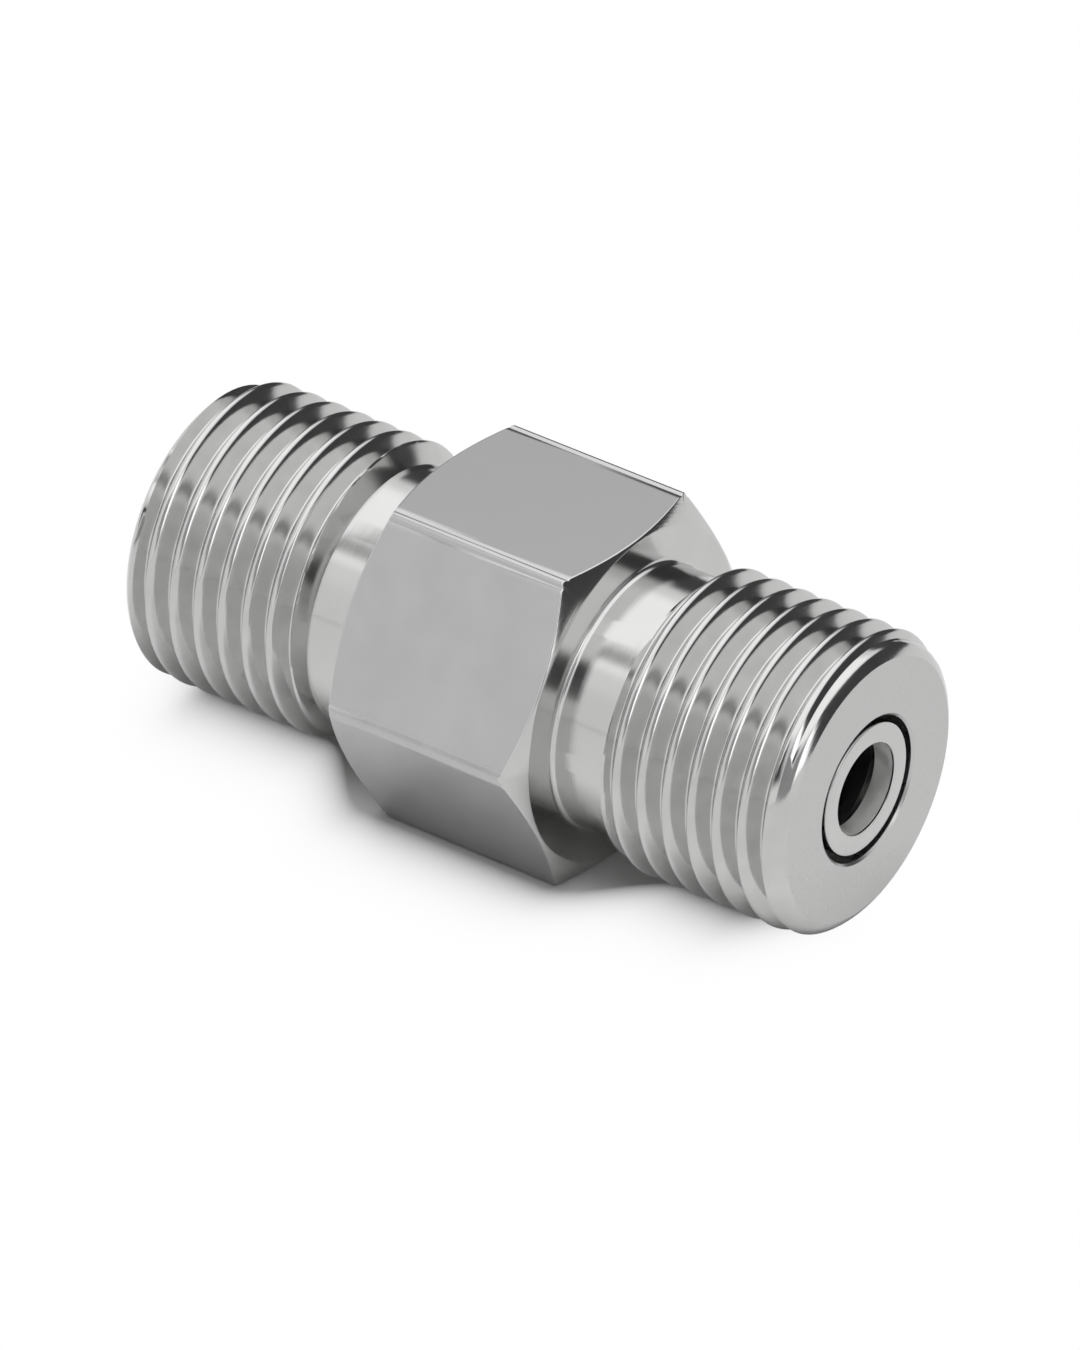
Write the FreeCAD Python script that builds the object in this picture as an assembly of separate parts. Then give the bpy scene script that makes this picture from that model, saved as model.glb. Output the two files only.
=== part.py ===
import FreeCAD, Part

import math
import os

from FreeCAD import Vector

# Hydraulic test point coupling: a hexagon bar turned down to a thread at each end, with a
# spring-loaded check valve in each end. X runs along the coupling's axis, Z is up, and the
# origin is the centre of the hexagon. All sizes are in millimetres.

# Body, outside
hex_across_flats = 18.0
hex_length = 11.9
hex_face_diameter = 17.7
hex_chamfer_angle = 27.0
neck_diameter = 13.9
neck_length = 3.05
neck_corner = 0.3
thread_diameter = 16.0
thread_length = 11.15
thread_run_in = 0.6
end_chamfer = 1.0

# Thread, right-hand metric; shares are of the pitch, and a groove starts its lead-in before the neck's end
thread_pitch = 1.5
thread_depth_share = 0.6134
thread_crest_share = 0.125
thread_flank_angle = 30.0
right_thread_lead_in = 1.2
left_thread_lead_in = 1.67
thread_overcut = 0.08

# Body, inside: a bore for the fixed pieces, a chamber for the valve, and a passage
bore_diameter = 7.8
bore_edge_break = 0.12
chamber_diameter = 6.9
passage_diameter = 5.6
web_thickness = 3.3

# Retainer bush, the ring that shows in the end face
bush_recess = 0.1
bush_nose_diameter = 7.06
bush_nose_length = 2.2
bush_collar_length = 1.8
pin_bore_diameter = 4.91
pin_land_length = 1.2
bush_chamber_diameter = 6.0
bush_edge_break = 0.15

# Seal round the hose pin, and the plastic ring that backs it up
backup_thickness = 0.9
pin_seal_section = 1.5

# Seat ring with the seal round it
seat_length = 4.6
seat_bore_diameter = 3.8
seat_cone_depth = 1.2
pin_pocket_diameter = 5.1
pin_pocket_depth = 1.2
seat_seal_section = 0.95
seat_seal_inset = 2.1
seal_groove_room = 0.25

# Poppet with its own seal
poppet_stroke = 1.6
nose_diameter = 2.5
nose_slot_width = 0.7
nose_slot_depth = 0.6
poppet_seal_section = 0.9
poppet_groove_diameter = 3.8
poppet_head_diameter = 5.5
poppet_head_length = 1.1
spring_spigot_diameter = 3.2
spring_spigot_length = 0.8
stem_diameter = 2.2
stem_setback = 0.4

# Spring, and the guide it pushes against
spring_wire_diameter = 0.5
spring_mean_diameter = 4.4
spring_half_turns = 9
guide_thickness = 1.5
guide_hub_diameter = 3.5
guide_rim_width = 0.75
guide_arm_width = 1.1
guide_arms = 3

# Rubber rings and the spring's wire have a many-sided section in place of a round one, which
# keeps pieces this small light
section_sides = 6

# Clearances, each on one side of a fit
press_clearance = 0.02
seal_clearance = 0.03
guide_clearance = 0.03
stem_clearance = 0.05
seat_gap = 0.05
seating_gap = 0.02

half_length = hex_length / 2 + neck_length + thread_length
bore_radius = bore_diameter / 2
fitted_radius = bore_radius - press_clearance

# Depths below an end face, piece after piece down the bore
collar_front = bush_recess + bush_nose_length
bush_back = collar_front + bush_collar_length
backup_front = bush_back + seating_gap
backup_back = backup_front + backup_thickness
pin_seal_depth = backup_back + seating_gap + pin_seal_section / 2
seat_front = pin_seal_depth + pin_seal_section / 2 + seating_gap
pin_pocket_floor = seat_front + pin_pocket_depth
seat_back = seat_front + seat_length
seat_cone_front = seat_back - seat_cone_depth
bore_depth = seat_back + seating_gap
chamber_depth = half_length - web_thickness / 2
guide_back = chamber_depth - seating_gap
guide_front = guide_back - guide_thickness
stem_end = guide_back - stem_setback
nose_front = pin_pocket_floor - poppet_stroke

# The poppet's seal touches the seat's 45 degree cone, and the seal's groove sets the head
poppet_seal_radius = (poppet_groove_diameter + poppet_seal_section) / 2
poppet_seal_reach = (poppet_seal_section / 2 + seal_clearance) * math.sqrt(2)
poppet_seal_depth = seat_cone_front + poppet_seal_radius - seat_bore_diameter / 2 + poppet_seal_reach
poppet_groove_front = poppet_seal_depth - poppet_seal_section / 2
poppet_groove_back = poppet_seal_depth + poppet_seal_section / 2
spring_front = poppet_groove_back + poppet_head_length

ORIGIN = Vector(0, 0, 0)
X_AXIS = Vector(1, 0, 0)
Y_AXIS = Vector(0, 1, 0)
Z_AXIS = Vector(0, 0, 1)


def turned(outline):
    """Turn a closed outline of (x, radius) points round the X axis into a solid."""
    points = [Vector(x, 0, radius) for x, radius in outline]
    face = Part.Face(Part.makePolygon(points + points[:1]))
    return face.revolve(ORIGIN, X_AXIS, 360)


def turned_in_end(outline):
    """Turn an outline of (depth below the +X end face, radius) points into a solid."""
    return turned([(half_length - depth, radius) for depth, radius in outline])


def section_points(x, radius, width):
    """Give the (x, radius) corners of a ring's or wire's section, drawn inside its true circle."""
    turns = [2 * math.pi * (k + 0.5) / section_sides for k in range(section_sides)]
    return [(x + width / 2 * math.cos(a), radius + width / 2 * math.sin(a)) for a in turns]


def seal_ring(depth, centre_radius, width):
    """Make a rubber ring at a depth below the +X end face."""
    return turned(section_points(half_length - depth, centre_radius, width))


def hexagon_bar():
    """Make the hexagon with flats at the top and bottom and both ends chamfered by turning."""
    corner = hex_across_flats / math.sqrt(3)
    angles = [math.radians(60 * k) for k in range(6)]
    corners = [Vector(-hex_length / 2, corner * math.cos(a), corner * math.sin(a)) for a in angles]
    bar = Part.Face(Part.makePolygon(corners + corners[:1])).extrude(X_AXIS * hex_length)
    face_radius = hex_face_diameter / 2
    chamfer_depth = (corner - face_radius) * math.tan(math.radians(hex_chamfer_angle))
    end = hex_length / 2
    blank = turned([(-end, 0), (-end, face_radius), (chamfer_depth - end, corner),
                    (end - chamfer_depth, corner), (end, face_radius), (end, 0)])
    return bar.common(blank)


def turned_bar():
    """Make the round bar that carries both threads, from one end face to the other."""
    neck_radius = neck_diameter / 2
    thread_radius = thread_diameter / 2
    neck_end = hex_length / 2 + neck_length
    half = [(hex_length / 2, neck_radius + neck_corner), (hex_length / 2 + neck_corner, neck_radius),
            (neck_end, neck_radius), (neck_end + thread_run_in, thread_radius),
            (half_length - end_chamfer, thread_radius),
            (half_length, thread_radius - end_chamfer), (half_length, 0)]
    mirrored = [(-x, radius) for x, radius in reversed(half)]
    return turned(mirrored + half)


def half_turn_path(start, climb, half_turns, flat_ends):
    """Join half turns round the X axis into a climbing path, flat at both ends where asked."""
    arcs = []
    for k in range(half_turns):
        flat = flat_ends and k in (0, half_turns - 1)
        end = Vector(start.x + (0 if flat else climb), 0, -start.z)
        bulge = Vector(0, math.copysign((end - start).Length / 2, -start.z), 0)
        arcs.append(Part.Arc(start, (start + end) / 2 + bulge, end).toShape())
        start = end
    return Part.Wire(arcs)


def thread_groove(lead_in):
    """Make the space that cuts the +X thread, from beside the neck to beyond the end face."""
    major = thread_diameter / 2
    depth = thread_pitch * thread_depth_share
    slope = math.tan(math.radians(thread_flank_angle))
    half_floor = thread_pitch * (1 - thread_crest_share) / 2 - depth * slope
    half_mouth = half_floor + (depth + thread_overcut) * slope
    first = hex_length / 2 + neck_length - lead_in
    corners = [Vector(first - half_floor, 0, major - depth),
               Vector(first - half_mouth, 0, major + thread_overcut),
               Vector(first + half_mouth, 0, major + thread_overcut),
               Vector(first + half_floor, 0, major - depth)]
    section = Part.Face(Part.makePolygon(corners + corners[:1]))
    climb = thread_pitch / 2
    half_turns = math.ceil((half_length + thread_pitch - first) / climb)
    path = half_turn_path(Vector(first, 0, major), climb, half_turns, False)
    return path.makePipe(section)


def bored_passage():
    """Make the stepped space that is bored right through the body."""
    chamber_radius = chamber_diameter / 2
    half = [(half_length - chamber_depth, passage_diameter / 2),
            (half_length - chamber_depth, chamber_radius),
            (half_length - bore_depth, chamber_radius), (half_length - bore_depth, bore_radius),
            (half_length - bore_edge_break, bore_radius),
            (half_length, bore_radius + bore_edge_break), (half_length, 0)]
    mirrored = [(-x, radius) for x, radius in reversed(half)]
    return turned(mirrored + half)


def body():
    """Make the one-piece body: hexagon, necks, threads and stepped bore."""
    blank = hexagon_bar().fuse(turned_bar()).removeSplitter().cut(bored_passage())
    left_groove = thread_groove(left_thread_lead_in)
    left_groove.rotate(ORIGIN, Z_AXIS, 180)
    return blank.cut(thread_groove(right_thread_lead_in)).cut(left_groove)


def retainer_bush():
    """Make the bush whose nose shows in the end face and whose collar holds in the bore."""
    nose = bush_nose_diameter / 2
    land = pin_bore_diameter / 2
    inner = bush_chamber_diameter / 2
    land_back = bush_recess + pin_land_length
    edge = bush_edge_break
    return turned_in_end([
        (bush_recess, land + edge), (bush_recess, nose - edge), (bush_recess + edge, nose),
        (collar_front, nose), (collar_front, fitted_radius - edge),
        (collar_front + edge, fitted_radius), (bush_back, fitted_radius), (bush_back, inner),
        (land_back + inner - land, inner), (land_back, land), (bush_recess + edge, land)])


def backup_ring():
    """Make the flat plastic ring that keeps the pin seal from being pushed out."""
    inner = (pin_bore_diameter / 2) + seal_clearance
    outer = bore_radius - seal_clearance
    return turned_in_end([(backup_front, inner), (backup_front, outer),
                          (backup_back, outer), (backup_back, inner)])


def pin_seal():
    """Make the round seal that closes on the hose pin."""
    return seal_ring(pin_seal_depth, bore_radius - seal_clearance - pin_seal_section / 2,
                     pin_seal_section)


def seat_groove():
    """Give the seat ring's seal groove: its front depth, back depth and floor radius."""
    front = seat_front + seat_seal_inset
    back = front + seat_seal_section + seal_groove_room
    floor = bore_radius - 2 * seal_clearance - seat_seal_section
    return front, back, floor


def seat_ring():
    """Make the ring with the pin's pocket, the valve's bore and its 45 degree seat."""
    valve_bore = seat_bore_diameter / 2
    cone_mouth = valve_bore + seat_cone_depth
    pocket = pin_pocket_diameter / 2
    groove_front, groove_back, groove_floor = seat_groove()
    return turned_in_end([
        (seat_front, pocket), (seat_front, fitted_radius), (groove_front, fitted_radius),
        (groove_front, groove_floor), (groove_back, groove_floor), (groove_back, fitted_radius),
        (seat_back, fitted_radius), (seat_back, cone_mouth), (seat_cone_front, valve_bore),
        (pin_pocket_floor, valve_bore), (pin_pocket_floor, pocket)])


def seat_seal():
    """Make the round seal between the seat ring and the bore."""
    groove_front, groove_back, groove_floor = seat_groove()
    return seal_ring((groove_front + groove_back) / 2,
                     groove_floor + seal_clearance + seat_seal_section / 2, seat_seal_section)


def poppet():
    """Make the valve's poppet: slotted nose, sealing cone, grooved head, spigot and stem."""
    nose = nose_diameter / 2
    groove_floor = poppet_groove_diameter / 2 - seal_clearance
    head = poppet_head_diameter / 2
    spigot = spring_spigot_diameter / 2
    stem = stem_diameter / 2
    spigot_back = spring_front + spring_spigot_length
    cone_shift = seat_bore_diameter / 2 - seat_gap * math.sqrt(2) - seat_cone_front
    cone_front = nose - cone_shift
    cone_rim = poppet_groove_front + cone_shift
    blank = turned_in_end([
        (nose_front, 0), (nose_front, nose), (cone_front, nose),
        (poppet_groove_front, cone_rim), (poppet_groove_front, groove_floor),
        (poppet_groove_back, groove_floor), (poppet_groove_back, head), (spring_front, head),
        (spring_front, spigot), (spigot_back, spigot), (spigot_back, stem),
        (stem_end, stem), (stem_end, 0)])
    slot = Part.makeBox(nose_slot_depth, nose_diameter, nose_slot_width)
    slot.translate(Vector(half_length - nose_front - nose_slot_depth, -nose, -nose_slot_width / 2))
    return blank.cut(slot)


def poppet_seal():
    """Make the soft ring in the poppet's groove, which closes on the seat."""
    return seal_ring(poppet_seal_depth, poppet_seal_radius, poppet_seal_section - seal_clearance)


def poppet_spring():
    """Make the spring along half turns: a flat one at each end and climbing ones between."""
    mean = spring_mean_diameter / 2
    first = half_length - guide_front + seating_gap + spring_wire_diameter / 2
    last = half_length - spring_front - seating_gap - spring_wire_diameter / 2
    climb = (last - first) / (spring_half_turns - 2)
    path = half_turn_path(Vector(first, 0, mean), climb, spring_half_turns, True)
    corners = [Vector(x, 0, z) for x, z in section_points(first, mean, spring_wire_diameter)]
    section = Part.Face(Part.makePolygon(corners + corners[:1]))
    return path.makePipe(section)


def spring_guide():
    """Make the guide: a hub for the stem, joined to its rim by arms with windows between."""
    stem_hole = stem_diameter / 2 + stem_clearance
    hub = guide_hub_diameter / 2
    outer = chamber_diameter / 2 - guide_clearance
    rim = outer - guide_rim_width
    disc = turned_in_end([(guide_front, stem_hole), (guide_front, outer),
                          (guide_back, outer), (guide_back, stem_hole)])
    window = turned_in_end([(guide_front, hub), (guide_front, rim),
                            (guide_back, rim), (guide_back, hub)])
    for k in range(guide_arms):
        arm = Part.makeBox(guide_thickness, guide_arm_width, rim)
        arm.translate(Vector(half_length - guide_back, -guide_arm_width / 2, hub / 2))
        arm.rotate(ORIGIN, X_AXIS, 360 * k / guide_arms)
        window = window.cut(arm)
    return disc.cut(window)


valve_pieces = {
    "retainer_bush": retainer_bush,
    "backup_ring": backup_ring,
    "pin_seal": pin_seal,
    "seat_ring": seat_ring,
    "seat_seal": seat_seal,
    "poppet": poppet,
    "poppet_seal": poppet_seal,
    "poppet_spring": poppet_spring,
    "spring_guide": spring_guide,
}

os.makedirs("parts", exist_ok=True)
body().exportStep("parts/body.step")
for name, make_piece in valve_pieces.items():
    right = make_piece()
    left = right.copy()
    left.rotate(ORIGIN, Z_AXIS, 180)
    right.exportStep(f"parts/right_{name}.step")
    left.exportStep(f"parts/left_{name}.step")
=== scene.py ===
"""Looks of the hydraulic test point coupling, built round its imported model."""
import logging
import math
from dataclasses import dataclass, field
from enum import Enum

import bpy
from mathutils import Matrix, Vector


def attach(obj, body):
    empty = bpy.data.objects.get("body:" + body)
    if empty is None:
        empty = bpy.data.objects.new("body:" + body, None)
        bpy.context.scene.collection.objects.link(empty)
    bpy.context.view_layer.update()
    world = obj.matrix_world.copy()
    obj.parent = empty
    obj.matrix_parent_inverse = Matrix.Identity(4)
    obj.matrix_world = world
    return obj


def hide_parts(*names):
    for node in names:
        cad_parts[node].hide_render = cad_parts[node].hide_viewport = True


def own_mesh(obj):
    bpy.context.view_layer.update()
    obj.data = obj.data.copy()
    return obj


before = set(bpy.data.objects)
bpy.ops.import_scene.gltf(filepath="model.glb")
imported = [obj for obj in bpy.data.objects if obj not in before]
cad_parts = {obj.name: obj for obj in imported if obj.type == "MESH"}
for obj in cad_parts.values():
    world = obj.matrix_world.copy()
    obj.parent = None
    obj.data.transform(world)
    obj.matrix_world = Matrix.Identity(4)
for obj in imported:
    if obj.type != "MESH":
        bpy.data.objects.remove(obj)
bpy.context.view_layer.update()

MM = 0.001
HOUSING = "housing"
TURN = 2 * math.pi
# An outline that turns by less than this, in radians, has no corner there.
STRAIGHT = 0.05
# The share of a side that the arc at one of its corners may take.
SIDE_SHARE = 0.45
# Faces that meet at more than this stay sharp.
SHARP_EDGE = math.radians(26)

Point = tuple[float, float]
Triple = tuple[float, float, float]
Socket = bpy.types.NodeSocket
log = logging.getLogger("coupling")


class End(Enum):
    """The coupling's two equal ends; the value is the X direction that the end faces."""

    RIGHT = 1
    LEFT = -1

    @property
    def word(self) -> str:
        """The end's name as the frame's nodes use it."""
        return self.name.lower()

    def outline(self, points: list[Point]) -> list[Point]:
        """Give a right-end outline for this end, with its outer side kept."""
        return points if self is End.RIGHT else [(-x, r) for x, r in reversed(points)]


class Surface(Enum):
    """How a face was made; a piece lists its finishes in this order."""

    TURNED = 0
    MILLED = 1
    FACED = 2
    THREADED = 3


def rounded(points: list[Point], radius: float, steps: int = 3) -> list[Point]:
    """Replace the corners of an outline by arcs.

    Args:
        points: Corners of the outline, as (x, radius) pairs in metres.
        radius: Size of each arc, cut down where a side is too short for it.
        steps: Number of straight steps in each arc.

    Returns:
        The outline with arcs, and with its first and last points as they were.
    """
    out = [points[0]]
    for before, corner, after in zip(points, points[1:], points[2:]):
        a, c, b = Vector(before), Vector(corner), Vector(after)
        u, v = a - c, b - c
        turn = math.pi - u.angle(v)
        if turn < STRAIGHT:
            out.append(corner)
            continue
        reach = min(radius * math.tan(turn / 2), SIDE_SHARE * u.length, SIDE_SHARE * v.length)
        start, end = c + u.normalized() * reach, c + v.normalized() * reach
        for k in range(steps + 1):
            t = k / steps
            bow = (1 - t) ** 2 * start + 2 * t * (1 - t) * c + t ** 2 * end
            out.append((bow.x, bow.y))
    return [*out, points[-1]]


def even_angles(count: int) -> list[float]:
    """Give evenly spaced angles for one turn."""
    return [TURN * k / count for k in range(count)]


class MeshBuilder:
    """Collects faces into one mesh, joining corners that share a place.

    Attributes:
        GRID: Steps in a metre, to which places are rounded when they are compared.
    """

    GRID = 1e7

    def __init__(self) -> None:
        """Start with no corners and no faces."""
        self.corners: list[Triple] = []
        self.faces: list[list[int]] = []
        self.surfaces: list[int] = []
        self.known: dict[tuple[int, int, int], int] = {}

    def point(self, place: Triple) -> int:
        """Give the corner at a place, adding it when it is new.

        Args:
            place: The corner's place, in metres.

        Returns:
            The corner's number in the mesh.
        """
        key = tuple(round(value * self.GRID) for value in place)
        if key not in self.known:
            self.known[key] = len(self.corners)
            self.corners.append(place)
        return self.known[key]

    def corner(self, x: float, radius: float, angle: float) -> int:
        """Give the corner at a distance from the axis.

        Args:
            x: Place along the axis, in metres.
            radius: Distance from the axis, in metres.
            angle: Angle round the axis in radians, from +Y towards +Z.

        Returns:
            The corner's number in the mesh.
        """
        return self.point((x, radius * math.cos(angle), radius * math.sin(angle)))

    def face(self, numbers: list[int], surface: Surface = Surface.TURNED) -> None:
        """Add a face, leaving out corners that fall together.

        Args:
            numbers: The face's corners, in order round it.
            surface: How the face was made.
        """
        kept = [n for k, n in enumerate(numbers) if n != numbers[k - 1]]
        if len(set(kept)) == len(kept) and len(kept) > 2:
            self.faces.append(kept)
            self.surfaces.append(surface.value)

    def band(self, rows: list[list[int]], surface: Surface = Surface.TURNED) -> None:
        """Join closed rings of corners, one after the other, with four-sided faces.

        Args:
            rows: The rings, each with the same number of corners.
            surface: How the faces were made.
        """
        for low, high in zip(rows, rows[1:]):
            for k in range(len(low)):
                self.face([low[k - 1], high[k - 1], high[k], low[k]], surface)

    def turned(self, outline: list[Point], angles: list[float], surface: Surface = Surface.TURNED,
               closed: bool = False) -> None:
        """Add the surface that an outline sweeps round the axis.

        Args:
            outline: (x, radius) points; the outer side runs towards -X.
            angles: Angles of the corners round the axis.
            surface: How the faces were made.
            closed: Whether the outline's last point joins its first one.
        """
        rows = [[self.corner(x, radius, a) for a in angles] for x, radius in outline]
        self.band(rows + rows[:1] if closed else rows, surface)

    def build(self, name: str, half_turn: bool = False) -> bpy.types.Object:
        """Make the piece from its faces.

        Args:
            name: The object's name.
            half_turn: Turns the piece half a turn about Z, for the left end.

        Returns:
            The new object, in the scene, shaded smooth between its sharp edges.
        """
        mesh = bpy.data.meshes.new(name)
        mesh.from_pydata(self.corners, [], self.faces)
        if half_turn:
            mesh.transform(Matrix.Rotation(math.pi, 4, "Z"))
        for polygon, surface in zip(mesh.polygons, self.surfaces):
            polygon.material_index = surface
            polygon.use_smooth = True
        mesh.set_sharp_from_angle(angle=SHARP_EDGE)
        piece = bpy.data.objects.new(name, mesh)
        bpy.context.scene.collection.objects.link(piece)
        even = piece.modifiers.new("even_shading", "WEIGHTED_NORMAL")
        even.keep_sharp = True
        return piece


@dataclass(frozen=True)
class Ramp:
    """An eased change between two levels, while a measure goes from start to end."""

    start: float
    end: float
    low: float
    high: float


class NodeTree:
    """A material's or the world's nodes, with short ways to add and join them."""

    def __init__(self, owner: bpy.types.Material | bpy.types.World) -> None:
        """Turn the owner's nodes on.

        Args:
            owner: The material or world that the nodes belong to.
        """
        owner.use_nodes = True
        self.nodes = owner.node_tree.nodes
        self.links = owner.node_tree.links

    def add(self, kind: str, output: str, settings: dict[str, object] | None = None,
            **inputs: object) -> Socket:
        """Add a node.

        Args:
            kind: The node's type, without "ShaderNode".
            output: Name of the output to give back.
            settings: The node's own settings.
            **inputs: Its inputs, with spaces written as underscores; a socket is linked.

        Returns:
            The output's socket.
        """
        node = self.nodes.new("ShaderNode" + kind)
        for name, value in (settings or {}).items():
            setattr(node, name, value)
        for name, value in inputs.items():
            self.feed(node.inputs[int(name[1:])] if name[1:].isdigit() else
                      node.inputs[name.replace("_", " ")], value)
        return node.outputs[output]

    def feed(self, place: Socket, value: object) -> None:
        """Link a socket to an input, or set the input's own value.

        Args:
            place: The input.
            value: The socket to link, or the value to set.
        """
        if isinstance(value, Socket):
            self.links.new(value, place)
        else:
            place.default_value = value

    def math(self, operation: str, *values: object) -> Socket:
        """Work out a number from others."""
        return self.add("Math", "Value", {"operation": operation},
                        **{f"_{k}": value for k, value in enumerate(values)})

    def mix(self, share: Socket, low: object, high: object) -> Socket:
        """Mix two levels by a share."""
        return self.add("Mix", "Result", Factor=share, A=low, B=high)

    def ease(self, value: Socket, ramp: Ramp) -> Socket:
        """Ease from a ramp's first level to its second, with the value as its measure."""
        return self.add("MapRange", "Result", {"interpolation_type": "SMOOTHSTEP"}, Value=value,
                        From_Min=ramp.start, From_Max=ramp.end, To_Min=ramp.low, To_Max=ramp.high)


class NodeFinish(NodeTree):
    """A node material in the making.

    Attributes:
        MIDDLE: The range in which most of a noise lies.
    """

    MIDDLE = (0.3, 0.7)

    def __init__(self, name: str) -> None:
        """Start the material with its shader and the place on the piece.

        Args:
            name: The material's name.
        """
        self.material = bpy.data.materials.new(name)
        super().__init__(self.material)
        self.shader = self.nodes["Principled BSDF"]
        self.place = self.add("TexCoord", "Object")

    def clouds(self, size: float, detail: float = 3.0) -> Socket:
        """Add soft noise whose clouds are about the size given, in metres."""
        return self.add("TexNoise", "Fac", Vector=self.place, Scale=1 / size, Detail=detail)

    def polish(self, value: Socket, low: float, high: float) -> None:
        """Spread the middle of a noise over a range of roughness."""
        spread = self.add("MapRange", "Result", Value=value, From_Min=self.MIDDLE[0],
                          From_Max=self.MIDDLE[1], To_Min=low, To_Max=high)
        self.feed(self.shader.inputs["Roughness"], spread)

    def colour(self, value: Socket, low: Triple, high: Triple) -> None:
        """Colour the surface between two colours.

        Args:
            value: 0 where the first colour is wanted, 1 for the second.
            low: The first colour.
            high: The second colour.
        """
        mix = self.nodes.new("ShaderNodeMix")
        mix.data_type = "RGBA"
        colours = [place for place in mix.inputs if place.type == "RGBA"]
        colours[0].default_value = (*low, 1)
        colours[1].default_value = (*high, 1)
        self.feed(mix.inputs["Factor"], value)
        result = [place for place in mix.outputs if place.type == "RGBA"][0]
        self.feed(self.shader.inputs["Base Color"], result)

    def along(self, across: bool) -> Socket:
        """Measure the place on the piece.

        Args:
            across: Whether to measure from the axis instead of along it.

        Returns:
            The distance, in metres.
        """
        split = self.nodes.new("ShaderNodeSeparateXYZ")
        self.feed(split.inputs["Vector"], self.place)
        if not across:
            return split.outputs["X"]
        flat = self.add("CombineXYZ", "Vector", Y=split.outputs["Y"], Z=split.outputs["Z"])
        return self.add("VectorMath", "Value", {"operation": "LENGTH"}, Vector=flat)

    def bump(self, height: Socket, strength: float, depth: float) -> None:
        """Raise the surface by up to a depth in metres, where the height is 1."""
        raised = self.add("Bump", "Normal", Strength=strength, Distance=depth, Height=height)
        self.feed(self.shader.inputs["Normal"], raised)


def shades(colour: Triple, spread: float) -> tuple[Triple, Triple]:
    """Give a darker and a lighter shade of a colour.

    Args:
        colour: The colour between them.
        spread: How far each shade is from it, as a share of the colour.

    Returns:
        The darker shade and the lighter one, which is never brighter than white.
    """
    return (tuple(c * (1 - spread) for c in colour),
            tuple(min(1.0, c * (1 + spread)) for c in colour))


@dataclass(frozen=True)
class SteelFinish:
    """Plated steel: its colour, polish, cutter marks and the plating's cloudiness.

    Attributes:
        name: The material's name.
        colour: The plating's colour.
        roughness: The surface's roughness, which the clouds spread.
        spread: The lowest and highest roughness, as shares of it.
        cloud: Half the share by which the clouds are darker and lighter.
        cloud_size: The clouds' size.
        cloud_detail: How many finer clouds lie within each.
        marks: How strongly the cutter's rings show.
        mark_pitch: The rings' distance from each other.
        mark_depth: The rings' depth.
        mark_detail: How many finer rings lie within each.
        marks_across: Whether the cutter went across the axis, as on an end face.
    """

    name: str
    colour: Triple
    roughness: float
    spread: Point = (0.85, 1.2)
    cloud: float = 0.03
    cloud_size: float = 2.5 * MM
    cloud_detail: float = 4.0
    marks: float = 0.0
    mark_pitch: float = 0.06 * MM
    mark_depth: float = 0.01 * MM
    mark_detail: float = 2.0
    marks_across: bool = False

    def material(self) -> bpy.types.Material:
        """Make the finish's material.

        Returns:
            The new node material.
        """
        finish = NodeFinish(self.name)
        finish.shader.inputs["Metallic"].default_value = 1.0
        clouds = finish.clouds(self.cloud_size, self.cloud_detail)
        finish.colour(clouds, *shades(self.colour, 2 * self.cloud))
        finish.polish(clouds, *(self.roughness * share for share in self.spread))
        if self.marks:
            rings = finish.add("TexNoise", "Fac", {"noise_dimensions": "1D"},
                               W=finish.along(self.marks_across), Detail=self.mark_detail,
                               Scale=1 / self.mark_pitch)
            finish.bump(rings, self.marks, self.mark_depth)
        return finish.material


@dataclass(frozen=True)
class SoftFinish:
    """Rubber or plastic: its colour, sheen and fine grain.

    Attributes:
        name: The material's name.
        colour: The material's colour.
        roughness: The surface's roughness, which the grain spreads.
        spread: The lowest and highest roughness, as shares of it.
        tone: How much darker and lighter the grain is.
        grain: How strongly the grain shows as relief.
        grain_size: The grain's size.
        grain_depth: The relief's depth.
    """

    name: str
    colour: Triple
    roughness: float
    spread: Point = (0.85, 1.15)
    tone: float = 0.2
    grain: float = 0.15
    grain_size: float = 0.12 * MM
    grain_depth: float = 0.02 * MM

    def material(self) -> bpy.types.Material:
        """Make the finish's material.

        Returns:
            The new node material.
        """
        finish = NodeFinish(self.name)
        clouds = finish.clouds(self.grain_size)
        finish.colour(clouds, *shades(self.colour, self.tone))
        finish.polish(clouds, *(self.roughness * share for share in self.spread))
        finish.bump(clouds, self.grain, self.grain_depth)
        return finish.material


TURNED_STEEL = SteelFinish("turned_steel", (0.57, 0.57, 0.565), 0.12, marks=0.25)
THREAD_STEEL = SteelFinish("thread_steel", (0.57, 0.57, 0.565), 0.125, cloud=0.05,
                           cloud_size=1.2 * MM)
MILLED_STEEL = SteelFinish("satin_steel", (0.49, 0.49, 0.49), 0.22, cloud=0.04)
FACED_STEEL = SteelFinish("faced_steel", (0.54, 0.54, 0.535), 0.27, marks=0.2, marks_across=True)
BUSH_STEEL = SteelFinish("bush_steel", (0.57, 0.57, 0.565), 0.16, marks=0.2)
# The bore's wall is painted lighter than the bush's own steel (0.8 against 0.57): painted light
# that brightens the shaded bore.
BORE_STEEL_PAINTED_LIGHTER = SteelFinish("bore_steel_painted_lighter", (0.8, 0.8, 0.79), 0.65, cloud_size=0.8 * MM)
VALVE_STEEL = SteelFinish("valve_steel", (0.6, 0.59, 0.57), 0.2, marks=0.2)
SPRING_STEEL = SteelFinish("spring_steel", (0.52, 0.5, 0.47), 0.24, cloud_size=0.6 * MM)
RUBBER = SoftFinish("seal_rubber", (0.022, 0.022, 0.023), 0.45)
PLASTIC = SoftFinish("backup_plastic", (0.1, 0.1, 0.105), 0.4)


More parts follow.
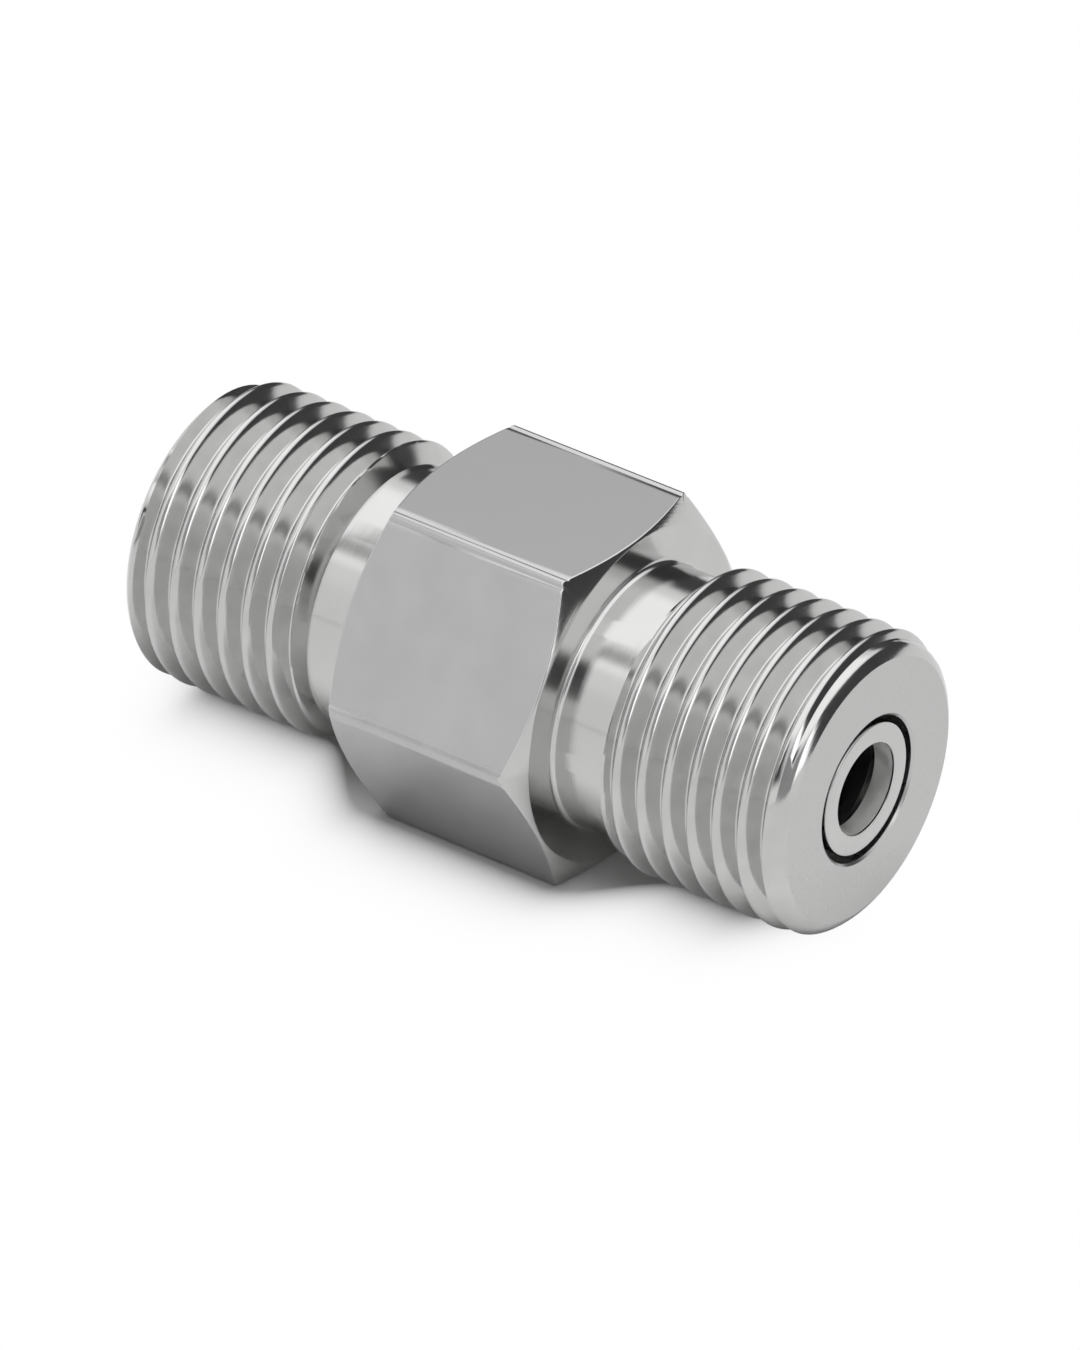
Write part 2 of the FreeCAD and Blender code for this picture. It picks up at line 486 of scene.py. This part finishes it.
@dataclass
class Thread:
    """A right-hand metric thread, cut into a turned blank.

    Attributes:
        outer: The crests' distance from the axis.
        pitch: The distance from crest to crest.
        phase: A crest's place along the axis where the angle round it is 0.
        flank_angle: Angle between a flank and the section across the axis.
        crest_reach: How far down the flanks a crest's rounding goes.
        root_reach: How far up the flanks a root's rounding goes.
        arc_steps: Steps in a rounding; an even number.
        flank_steps: Steps in the straight part of a flank.
        lead_in: Distance from the end face at which the groove starts; below 0 it already
            has some depth there.
        lead_slope: How fast the groove deepens where it starts.
        lead_length: The distance at which it is twice as deep as a straight start would be.
    """

    outer: float = 8.0 * MM
    pitch: float = 1.5 * MM
    phase: float = 0.0
    flank_angle: float = math.radians(32)
    crest_reach: float = 0.4 * MM
    root_reach: float = 0.22 * MM
    arc_steps: int = 10
    flank_steps: int = 3
    lead_in: float = 0.35 * MM
    lead_slope: float = 0.5
    lead_length: float = 1.0 * MM

    def arc(self, x: float, radius: float, reach: float, side: int) -> list[Point]:
        """Round a sharp corner of the thread's section.

        Args:
            x: The sharp corner's place along the axis.
            radius: The sharp corner's distance from the axis.
            reach: How far down its flanks the arc starts.
            side: 1 for a root's corner, -1 for a crest's.

        Returns:
            The arc's points with x rising; the middle one lies under the corner.
        """
        across, along = reach * math.sin(self.flank_angle), reach * math.cos(self.flank_angle)
        shares = [k / self.arc_steps for k in range(self.arc_steps + 1)]
        return [(x + across * (2 * t - 1), radius + side * along * ((1 - t) ** 2 + t ** 2))
                for t in shares]

    def section(self) -> list[Point]:
        """Work out the thread's section.

        Returns:
            One pitch of it as (x, radius) pairs, from one root's middle up to the next one.
        """
        middle = self.arc_steps // 2
        crest = self.outer + self.crest_reach * math.cos(self.flank_angle) / 2
        root = crest - self.pitch / 2 / math.tan(self.flank_angle)
        low = self.arc(-self.pitch / 2, root, self.root_reach, 1)[middle:]
        high = self.arc(0.0, crest, self.crest_reach, -1)[:middle + 1]
        start, end = Vector(low[-1]), Vector(high[0])
        flank = [tuple(start.lerp(end, k / self.flank_steps)) for k in range(1, self.flank_steps)]
        left = low + flank + high
        return left + [(-x, radius) for x, radius in reversed(left[1:-1])]

    def depth_left(self, from_face: float) -> float:
        """Give how deep the groove may be at a distance from the end face."""
        inwards = max(0.0, from_face - self.lead_in)
        return self.lead_slope * inwards * (1 + inwards / self.lead_length)

    def add_to(self, builder: MeshBuilder, angles: list[float], blank: list[Point],
               face: float) -> None:
        """Cut the thread into a blank and add its surface to a mesh.

        Args:
            builder: Takes the faces.
            angles: Angles of the mesh's corners round the axis.
            blank: The blank's outline as (x, radius) pairs with x rising.
            face: The end face's place along the axis.
        """
        first, last = blank[0][0], blank[-1][0]
        section = self.section()
        count = len(section)
        low_turn = math.floor((first - self.phase) / self.pitch) - 1
        high_turn = math.ceil((last - self.phase) / self.pitch) + 1

        def corner(row: int, angle: float) -> int:
            """Add a corner of the thread's surface, kept within the blank.

            Args:
                row: The helical row, counted from the section's first point at turn 0.
                angle: The corner's angle round the axis.

            Returns:
                The corner's number in the mesh.
            """
            turns, step = divmod(row, count)
            x, radius = section[step]
            x += self.phase + (turns + angle / TURN) * self.pitch
            x = min(max(x, first), last)
            solid = self.blank_radius(blank, x)
            radius = max(radius, solid - self.depth_left(abs(face - x)))
            return builder.corner(x, min(radius, solid), angle)

        rows = range(low_turn * count, high_turn * count)
        grid = {row: [corner(row, a) for a in angles] + [corner(row + count, angles[0])]
                for row in range(rows.start, rows.stop + 1)}
        for row in rows:
            low, high = grid[row], grid[row + 1]
            for k in range(len(angles)):
                builder.face([low[k], low[k + 1], high[k + 1], high[k]], Surface.THREADED)

    @staticmethod
    def blank_radius(blank: list[Point], x: float) -> float:
        """Measure the blank at a place along the axis.

        Args:
            blank: The blank's outline as (x, radius) pairs with x rising.
            x: The place along the axis.

        Returns:
            The blank's radius there.
        """
        for low, high in zip(blank, blank[1:]):
            if x <= high[0]:
                share = (x - low[0]) / (high[0] - low[0])
                return low[1] + share * (high[1] - low[1])
        return blank[-1][1]


@dataclass
class CouplingBody:
    """The one-piece body: hexagon, necks, threads, end faces and the bore through it.

    Places along the axis are measured from the hexagon's middle, and depths from the end
    face. The two ends differ only in their threads.
    """

    across_flats: float = 18.0 * MM
    hex_half_length: float = 5.95 * MM
    hex_face_radius: float = 8.85 * MM
    hex_chamfer: float = math.radians(27)
    hex_edge_round: float = 0.28 * MM
    chamfer_edge_round: float = 0.09 * MM
    neck_radius: float = 6.95 * MM
    neck_end: float = 9.0 * MM
    neck_fillet: float = 0.3 * MM
    fillet_steps: int = 6
    run_in: float = 0.6 * MM
    thread_radius: float = 8.0 * MM
    half_length: float = 20.15 * MM
    end_chamfer: float = 1.0 * MM
    end_chamfer_bow: float = 0.12 * MM
    chamfer_steps: int = 8
    bore_radius: float = 3.9 * MM
    bore_edge: float = 0.12 * MM
    bore_depth: float = 11.18 * MM
    chamber_radius: float = 3.45 * MM
    chamber_depth: float = 18.5 * MM
    passage_radius: float = 2.8 * MM
    steps_per_flat: int = 22
    crowding: float = 0.75
    corner_steps: int = 4
    threads: dict[End, Thread] = field(default_factory=lambda: {
        End.RIGHT: Thread(phase=0.675 * MM),
        End.LEFT: Thread(phase=0.545 * MM, lead_in=-0.35 * MM)})

    @property
    def corner_distance(self) -> float:
        """Distance from the axis to the centre of a rounded corner's arc."""
        return self.across_flats / math.sqrt(3) - self.hex_edge_round / math.sin(math.radians(60))

    def angles(self) -> list[float]:
        """Spread the mesh's corners round the axis.

        Returns:
            The angles for one turn, which crowd together towards the hexagon's corners.
        """
        reach = self.hex_edge_round / 2 / self.corner_distance
        sixth = math.radians(60)
        shares = [j / self.steps_per_flat for j in range(self.steps_per_flat)]
        shares = [t - self.crowding * math.sin(TURN * t) / TURN for t in shares]
        found = []
        for k in range(6):
            found += [sixth * k + reach * (2 * j / self.corner_steps - 1)
                      for j in range(self.corner_steps)]
            found += [sixth * k + reach + (sixth - 2 * reach) * t for t in shares]
        half = self.corner_steps // 2
        return found[half:] + [a + TURN for a in found[:half]]

    def hex_radius(self, angle: float) -> float:
        """Measure the hexagon with its rounded corners.

        Args:
            angle: Angle round the axis; the first corner is at 0.

        Returns:
            The distance from the axis to the hexagon's surface.
        """
        half_flat = math.radians(30)
        from_corner = (angle + half_flat) % (2 * half_flat) - half_flat
        flat = self.across_flats / 2 / math.cos(half_flat - abs(from_corner))
        centre, bend = self.corner_distance, self.hex_edge_round
        sideways = centre * math.sin(from_corner)
        if abs(sideways) >= bend:
            return flat
        return min(flat, centre * math.cos(from_corner) + math.sqrt(bend ** 2 - sideways ** 2))

    def hex_spoke(self, angle: float) -> list[Point]:
        """Outline the hexagon at an angle.

        Args:
            angle: Angle round the axis; the first corner is at 0.

        Returns:
            The (x, radius) points from the right face's inner edge to the left one's.
        """
        reach = self.hex_radius(angle)
        end, ring = self.hex_half_length, self.hex_face_radius
        shoulder = end - (reach - ring) * math.tan(self.hex_chamfer)
        inner = self.neck_radius + self.neck_fillet
        half = rounded([(end, inner), (end, ring), (shoulder, reach), (0.0, reach)],
                       self.chamfer_edge_round)
        return half + [(-x, r) for x, r in reversed(half[:-1])]

    def add_hexagon(self, builder: MeshBuilder, angles: list[float]) -> None:
        """Add the hexagon with its turned chamfers, from face to face.

        Args:
            builder: Takes the faces.
            angles: Angles of the mesh's corners round the axis.
        """
        spokes = [self.hex_spoke(a) for a in angles]
        rows = [[builder.corner(*spoke[k], a) for spoke, a in zip(spokes, angles)]
                for k in range(len(spokes[0]))]
        middle = len(rows) // 2
        builder.band(rows[:middle])
        builder.band(rows[middle - 1:middle + 2], Surface.MILLED)
        builder.band(rows[middle + 1:])

    def neck(self) -> list[Point]:
        """Outline the right neck.

        Returns:
            The (x, radius) points from the thread to the hollow corner at the hexagon.
        """
        bend, steps = self.neck_fillet, self.fillet_steps
        x, radius = self.hex_half_length + bend, self.neck_radius + bend
        turns = [math.radians(270 - 90 * k / steps) for k in range(steps + 1)]
        corner = [(x + bend * math.cos(a), radius + bend * math.sin(a)) for a in turns]
        return [(self.neck_end, self.neck_radius), *corner]

    def blank(self) -> list[Point]:
        """Outline the right thread's blank, whose end chamfer bows outwards.

        Returns:
            The (x, radius) points from the end face's edge to the neck.
        """
        width, chamfer = self.end_chamfer, []
        for k in range(self.chamfer_steps + 1):
            share = k / self.chamfer_steps
            bow = 2 * self.end_chamfer_bow * math.sqrt(2) * share * (1 - share)
            chamfer.append((self.half_length - width * share + bow,
                            self.thread_radius - width * (1 - share) + bow))
        return [*chamfer, (self.neck_end + self.run_in, self.thread_radius),
                (self.neck_end, self.neck_radius)]

    def bore(self) -> list[Point]:
        """Outline the right end's bore and face.

        Returns:
            The (x, radius) points from the middle of the passage to the end face's edge.
        """
        end = self.half_length
        chamber, bore = end - self.chamber_depth, end - self.bore_depth
        return [(0.0, self.passage_radius), (chamber, self.passage_radius),
                (chamber, self.chamber_radius), (bore, self.chamber_radius),
                (bore, self.bore_radius), (end - self.bore_edge, self.bore_radius),
                (end, self.bore_radius + self.bore_edge),
                (end, self.thread_radius - self.end_chamfer)]

    def build(self) -> bpy.types.Object:
        """Build the body as one closed mesh and dress it.

        Returns:
            The finished body.
        """
        builder, angles = MeshBuilder(), self.angles()
        self.add_hexagon(builder, angles)
        for end in End:
            builder.turned(end.outline(self.neck()), angles)
            self.threads[end].add_to(builder, angles, end.outline(self.blank())[::-1],
                                     end.value * self.half_length)
            builder.turned(end.outline(self.bore()), angles, Surface.FACED)
        body = builder.build("coupling_body")
        for finish in (TURNED_STEEL, MILLED_STEEL, FACED_STEEL, THREAD_STEEL):
            body.data.materials.append(finish.material())
        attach(body, HOUSING)
        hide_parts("body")
        return body


@dataclass
class ValveCartridge:
    """The pieces in one end's bore: bush, seals, seat, poppet, spring and guide.

    Each seal has its depth below the end face, the radius to its section's centre and the
    section's own radius. The spring's low and high places are those of its wire's centre
    at the two flat ends.
    """

    end: End
    end_face: float = 20.15 * MM
    bush_recess: float = 0.1 * MM
    bush_nose_radius: float = 3.53 * MM
    bush_nose_length: float = 2.2 * MM
    bush_collar_length: float = 1.8 * MM
    bush_collar_radius: float = 3.88 * MM
    pin_bore_radius: float = 2.455 * MM
    pin_land_length: float = 1.2 * MM
    bush_chamber_radius: float = 3.0 * MM
    bush_edge_round: float = 0.14 * MM
    bush_edge_steps: int = 4
    pin_seal: Triple = (5.79 * MM, 3.12 * MM, 0.75 * MM)
    seat_seal: Triple = (9.26 * MM, 3.365 * MM, 0.475 * MM)
    poppet_seal: Triple = (11.089 * MM, 2.35 * MM, 0.435 * MM)
    wire_radius: float = 0.25 * MM
    spring_radius: float = 2.2 * MM
    spring_low: float = 3.44 * MM
    spring_high: float = 7.241 * MM
    spring_half_turns: int = 9
    spring_steps: int = 18
    stroke: float = 1.6 * MM
    round_steps: int = 20
    turn_steps: int = 96

    def finish_piece(self, builder: MeshBuilder, word: str, slot: str,
                     *finishes: SteelFinish | SoftFinish, body: str = HOUSING) -> bpy.types.Object:
        """Make a piece that stands for the frame's node of the same name.

        Args:
            builder: Holds the piece's faces, as for the right end.
            word: The node's name without its end.
            slot: The record's material slot; not used.
            *finishes: A finish for each kind of surface that the piece has.
            body: The body that the piece rides on.

        Returns:
            The finished piece.
        """
        name = f"{self.end.word}_{word}"
        piece = builder.build(f"{name}_piece", half_turn=self.end is End.LEFT)
        for finish in finishes:
            piece.data.materials.append(finish.material())
        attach(piece, body)
        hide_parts(name)
        return piece

    def bush(self) -> bpy.types.Object:
        """Build the retainer bush with its rounded edges and the bore for the hose's pin.

        Returns:
            The finished bush.
        """
        front = self.end_face - self.bush_recess
        collar = front - self.bush_nose_length
        back = collar - self.bush_collar_length
        land, inner = self.pin_bore_radius, self.bush_chamber_radius
        land_back = front - self.pin_land_length
        lip = front - self.bush_edge_round
        bored = [(land_back, land), (lip, land)]
        outside = [(lip, land), (front, land), (front, self.bush_nose_radius),
                   (collar, self.bush_nose_radius), (collar, self.bush_collar_radius),
                   (back, self.bush_collar_radius), (back, inner),
                   (land_back - inner + land, inner), (land_back, land)]
        builder, angles = MeshBuilder(), even_angles(self.turn_steps)
        builder.turned(bored, angles, Surface.MILLED)
        builder.turned(rounded(outside, self.bush_edge_round, self.bush_edge_steps), angles)
        return self.finish_piece(builder, "retainer_bush", "bush_steel", BUSH_STEEL, BORE_STEEL_PAINTED_LIGHTER)

    def seal(self, word: str, sizes: Triple, body: str = HOUSING) -> bpy.types.Object:
        """Build a round rubber ring.

        Args:
            word: The node's name without its end.
            sizes: The seal's three sizes.
            body: The body that the ring rides on.

        Returns:
            The finished ring.
        """
        depth, centre, section = sizes
        x = self.end_face - depth
        outline = [(x + section * math.cos(a), centre + section * math.sin(a))
                   for a in even_angles(self.round_steps)]
        builder = MeshBuilder()
        builder.turned(outline, even_angles(self.turn_steps), closed=True)
        return self.finish_piece(builder, word, "seal_rubber", RUBBER, body=body)

    def spring(self) -> bpy.types.Object:
        """Build the poppet's spring, whose ends are flat half turns, with a mesh of its own.

        Returns:
            The finished spring.
        """
        half_turns, steps = self.spring_half_turns, self.spring_steps
        climbing = half_turns - 2
        climb = (self.spring_high - self.spring_low) / climbing
        builder, rows = MeshBuilder(), []
        section = even_angles(self.round_steps // 2)
        for k in range(half_turns * steps + 1):
            angle = math.pi * k / steps
            risen = min(max(k / steps - 1, 0), climbing)
            slope = climb / math.pi if 0 < risen < climbing else 0.0
            out = Vector((0, -math.sin(angle), math.cos(angle)))
            onward = Vector((slope, -self.spring_radius * math.cos(angle),
                             -self.spring_radius * math.sin(angle))).normalized()
            aside = out.cross(onward)
            centre = Vector((self.spring_low + risen * climb, 0, 0)) + out * self.spring_radius
            ring = [centre + self.wire_radius * (math.cos(a) * out + math.sin(a) * aside)
                    for a in section]
            rows.append([builder.point(tuple(place)) for place in ring])
        builder.band(rows)
        builder.face(rows[0])
        builder.face(rows[-1][::-1])
        piece = self.finish_piece(builder, "poppet_spring", "spring_steel", SPRING_STEEL)
        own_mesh(piece)
        return piece

    def dress_carried(self) -> list[str]:
        """Dress the frame's own nodes, whose shapes are right as they are.

        Returns:
            The nodes' names.
        """
        finishes = {"backup_ring": PLASTIC, "seat_ring": VALVE_STEEL, "poppet": VALVE_STEEL,
                    "spring_guide": VALVE_STEEL}
        for word, finish in finishes.items():
            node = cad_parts[f"{self.end.word}_{word}"]
            material = finish.material()
            for place in node.material_slots:
                place.material = material
        return [f"{self.end.word}_{word}" for word in finishes]

    def build(self) -> list[bpy.types.Object]:
        """Build the cartridge's pieces.

        Returns:
            The finished pieces.
        """
        return [self.bush(), self.seal("pin_seal", self.pin_seal),
                self.seal("seat_seal", self.seat_seal),
                self.seal("poppet_seal", self.poppet_seal, f"{self.end.word}_valve"), self.spring()]


@dataclass(frozen=True)
class Panel:
    """A soft-edged part of the tent with a level of its own; places and sizes are in degrees."""

    azimuth: float
    elevation: float
    half_width: float
    half_height: float
    level: float
    softness: float = 8.0


@dataclass
class Studio:
    """White floor, soft light from a white tent with dark openings, and the camera.

    Attributes:
        azimuth: The camera's azimuth.
        elevation: The camera's elevation.
        roll: How far the camera leans.
        distance: The camera's distance from the origin.
        focal_pixels: The lens's focal length in pixels of the picture.
        image: The picture's width and height in pixels.
        aim: The origin's place in the picture, from its upper left corner.
        origin_shift: How far the camera is moved along X.
        sensor: The sensor's width, in millimetres.
        clip: The nearest and the farthest distance that the camera sees, in metres.
        floor_height: The floor's height, which is the hexagon's lower flat.
        floor_size: The distance from the middle of the floor to its sides.
        paper: The floor's darkest and lightest tone.
        paper_cloud: Size of the clouds between them.
        paper_roughness: The floor's roughness.
        paper_sheen: The floor's specular level.
        mirrored_white: The share of the painted white glow in the floor that the metal mirrors.
        shadow_width: The distance over which the floor's shadow gives way to the painted white
            glow.
        kept_shadow: Half the width of the strip beside the coupling where the floor keeps its real
            shadow with no painted glow, by the distance from its middle, at the hexagon and under
            the threads.
        kept_shadow_shift: How far that strip is moved against X.
        past_end: The distance added to that from the strip, by the distance from the
            middle, which ends the shadow past the coupling's ends with painted glow.
        end_shift: How far those ends are moved against X.
        overhead: The tent's level by the height of the direction.
        fill: The share of the tent's light that reaches surfaces that don't mirror it.
        lamp_place: The lamp's azimuth and elevation in degrees, and its distance.
        lamp_size: The lamp's width.
        lamp_power: The lamp's power in watts.
        panels: The parts of the tent with a level of their own.
    """

    azimuth: float = math.radians(34.88)
    elevation: float = math.radians(33.15)
    roll: float = math.radians(1.28)
    distance: float = 744.0 * MM
    focal_pixels: float = 14928.0
    image: tuple[float, float] = (1080.0, 1350.0)
    aim: tuple[float, float] = (531.7, 653.3)
    origin_shift: float = -0.21 * MM
    sensor: float = 36.0
    clip: Point = (0.01, 20.0)
    floor_height: float = -9.0 * MM
    floor_size: float = 4.0
    paper: Point = (0.85, 0.87)
    paper_cloud: float = 20.0 * MM
    paper_roughness: float = 0.9
    paper_sheen: float = 0.1
    mirrored_white: float = 0.1
    shadow_width: float = 1.9 * MM
    kept_shadow: Ramp = Ramp(5.5 * MM, 11.0 * MM, 5.6 * MM, 1.4 * MM)
    kept_shadow_shift: float = 0.7 * MM
    past_end: Ramp = Ramp(16.0 * MM, 26.0 * MM, 0.0, 15.0 * MM)
    end_shift: float = 2.5 * MM
    overhead: Ramp = Ramp(0.6, 0.72, 1.0, 1.42)
    fill: float = 0.12
    lamp_place: Triple = (35.0, 85.0, 1.6)
    lamp_size: float = 1.3
    lamp_power: float = 28.0
    panels: tuple[Panel, ...] = (
        Panel(163, 13, 71, 16, 0.07),
        Panel(34, 28, 8, 14, 0.05),
        Panel(62, 14, 13, 17, 0.36),
        Panel(82, 14, 9, 15, 1.9, 5),
        Panel(-50, 51, 40, 4.5, 0.5, 6),
        Panel(-31, 12, 16, 14, 0.9, 12),
    )

    @staticmethod
    def direction(azimuth: float, elevation: float) -> Vector:
        """Give the unit vector to a studio direction; azimuth 0 is in front, towards -Y."""
        return Vector((math.sin(azimuth) * math.cos(elevation),
                       -math.cos(azimuth) * math.cos(elevation), math.sin(elevation)))

    def add_camera(self) -> None:
        """Place the camera as the photo's was, with the origin at its place in the picture."""
        az, el, roll = self.azimuth, self.elevation, self.roll
        back = self.direction(az, el)
        flat_right = Vector((math.cos(az), math.sin(az), 0))
        flat_up = back.cross(flat_right)
        right = math.cos(roll) * flat_right + math.sin(roll) * flat_up
        up = -math.sin(roll) * flat_right + math.cos(roll) * flat_up
        across = (self.aim[0] - self.image[0] / 2) * self.distance / self.focal_pixels
        below = (self.aim[1] - self.image[1] / 2) * self.distance / self.focal_pixels
        place = back * self.distance - right * across + up * below
        place.x += self.origin_shift
        data = bpy.data.cameras.new("camera")
        data.sensor_width = self.sensor
        data.lens = self.focal_pixels * data.sensor_width / max(self.image)
        data.clip_start, data.clip_end = self.clip
        camera = bpy.data.objects.new("camera", data)
        axes = Matrix((right, up, back)).transposed().to_4x4()
        camera.matrix_world = Matrix.Translation(place) @ axes
        bpy.context.scene.collection.objects.link(camera)
        bpy.context.scene.camera = camera

    def add_floor(self) -> None:
        """Lay the white floor, which keeps the coupling's shadow close to it and is covered by a
        painted white glow farther out.
        """
        size, z = self.floor_size, self.floor_height
        mesh = bpy.data.meshes.new("floor")
        mesh.from_pydata([(-size, -size, z), (size, -size, z), (size, size, z), (-size, size, z)],
                         [], [(0, 1, 2, 3)])
        floor = bpy.data.objects.new("floor", mesh)
        bpy.context.scene.collection.objects.link(floor)
        paper = NodeFinish("white_paper")
        paper.colour(paper.clouds(self.paper_cloud), *((tone,) * 3 for tone in self.paper))
        paper.shader.inputs["Roughness"].default_value = self.paper_roughness
        paper.shader.inputs["Specular IOR Level"].default_value = self.paper_sheen
        # Painted light: a white glow, masked round the coupling, that the camera sees in full and
        # the metal faintly; it wipes out the floor's shadow a few millimetres out.
        path = paper.add("LightPath", "Is Camera Ray").node.outputs
        mirrored = paper.math("MAXIMUM", path["Is Glossy Ray"], path["Is Transmission Ray"])
        seen = paper.math("MAXIMUM", path["Is Camera Ray"],
                          paper.math("MULTIPLY", mirrored, self.mirrored_white))
        share = paper.math("MULTIPLY", seen, self.painted_glow_share(paper))
        surface = paper.add("MixShader", "Shader", _0=share, _1=paper.shader.outputs["BSDF"],
                            _2=paper.add("Emission", "Emission"))
        paper.feed(paper.nodes["Material Output"].inputs["Surface"], surface)
        mesh.materials.append(paper.material)

    def painted_glow_share(self, paper: NodeFinish) -> Socket:
        """Paint a white glow onto the floor a few millimetres from the coupling, which cuts its
        shadow short.

        Args:
            paper: The floor's material.

        Returns:
            The share of painted white glow: none where the shadow is kept beside the coupling,
                nearly all a few millimetres away.
        """
        place = paper.add("SeparateXYZ", "X", Vector=paper.place).node.outputs
        from_middle = paper.math("ABSOLUTE", paper.math("ADD", place["X"], self.kept_shadow_shift))
        kept_shadow = paper.ease(from_middle, self.kept_shadow)
        from_middle = paper.math("ABSOLUTE", paper.math("ADD", place["X"], self.end_shift))
        past_end = paper.ease(from_middle, self.past_end)
        past_kept_shadow = paper.math("SUBTRACT", paper.math("ABSOLUTE", place["Y"]), kept_shadow)
        beside = paper.math("ADD", past_end, past_kept_shadow)
        fall = paper.math("DIVIDE", paper.math("MAXIMUM", beside, 0.0), -self.shadow_width)
        return paper.math("SUBTRACT", 1.0, paper.math("EXPONENT", fall))

    def add_world(self) -> None:
        """Hang the white tent: brighter overhead, with the dark panels that the metal mirrors."""
        world = bpy.data.worlds.new("studio")
        bpy.context.scene.world = world
        tent = NodeTree(world)
        looked = tent.add("TexCoord", "Generated")
        towards = tent.add("SeparateXYZ", "X", Vector=looked).node.outputs
        ahead = tent.math("MULTIPLY", towards["Y"], -1.0)
        azimuth = tent.math("ARCTAN2", towards["X"], ahead)
        elevation = tent.math("ARCSINE", towards["Z"])
        level = tent.ease(towards["Z"], self.overhead)
        for panel in self.panels:
            level = self.hang_panel(tent, azimuth, elevation, level, panel)
        soft = tent.math("MULTIPLY", level, self.fill)
        level = tent.mix(tent.add("LightPath", "Is Glossy Ray"), soft, level)
        level = tent.mix(tent.add("LightPath", "Is Camera Ray"), level, 1.0)
        backing = tent.nodes["Background"]
        backing.inputs["Color"].default_value = (1, 1, 1, 1)
        tent.feed(backing.inputs["Strength"], level)

    def hang_panel(self, tent: NodeTree, azimuth: Socket, elevation: Socket, level: Socket,
                   panel: Panel) -> Socket:
        """Give a part of the tent another level.

        Args:
            tent: The world's nodes.
            azimuth: The azimuth looked in, in radians.
            elevation: The elevation looked in, in radians.
            level: The tent's level so far.
            panel: The part to change.

        Returns:
            The tent's level with the panel in it.
        """
        aside = tent.math("SUBTRACT", azimuth, math.radians(panel.azimuth))
        aside = tent.math("ABSOLUTE", tent.math("WRAP", aside, math.pi, -math.pi))
        above = tent.math("SUBTRACT", elevation, math.radians(panel.elevation))
        above = tent.math("ABSOLUTE", above)
        outside = tent.math("MAXIMUM", tent.math("SUBTRACT", aside, math.radians(panel.half_width)),
                            tent.math("SUBTRACT", above, math.radians(panel.half_height)))
        soft = math.radians(panel.softness) / 2
        return tent.mix(tent.ease(outside, Ramp(-soft, soft, 0.0, 1.0)), panel.level, level)

    def add_lamp(self) -> None:
        """Hang the soft lamp high above the coupling, which keeps the shadow close to it."""
        data = bpy.data.lights.new("softbox", "AREA")
        data.size = self.lamp_size
        data.energy = self.lamp_power
        lamp = bpy.data.objects.new("softbox", data)
        azimuth, elevation, distance = self.lamp_place
        away = self.direction(math.radians(azimuth), math.radians(elevation))
        lamp.location = away * distance
        lamp.rotation_euler = away.to_track_quat("Z", "Y").to_euler()
        lamp.visible_glossy = False
        bpy.context.scene.collection.objects.link(lamp)

    def build(self) -> None:
        """Set up the whole studio."""
        self.add_world()
        self.add_floor()
        self.add_lamp()
        self.add_camera()


def main() -> None:
    """Build the pieces in order and report each one."""
    logging.basicConfig(level=logging.INFO, format="%(name)s: %(message)s")
    bpy.context.scene.view_settings.view_transform = "Standard"
    Studio().build()
    pieces = [CouplingBody().build()]
    for end in End:
        cartridge = ValveCartridge(end)
        pieces += cartridge.build()
        log.info("dressed %s", ", ".join(cartridge.dress_carried()))
    for piece in pieces:
        log.info("%s has %d triangles", piece.name,
                 sum(len(face.vertices) - 2 for face in piece.data.polygons))


if __name__ == "__main__":
    main()
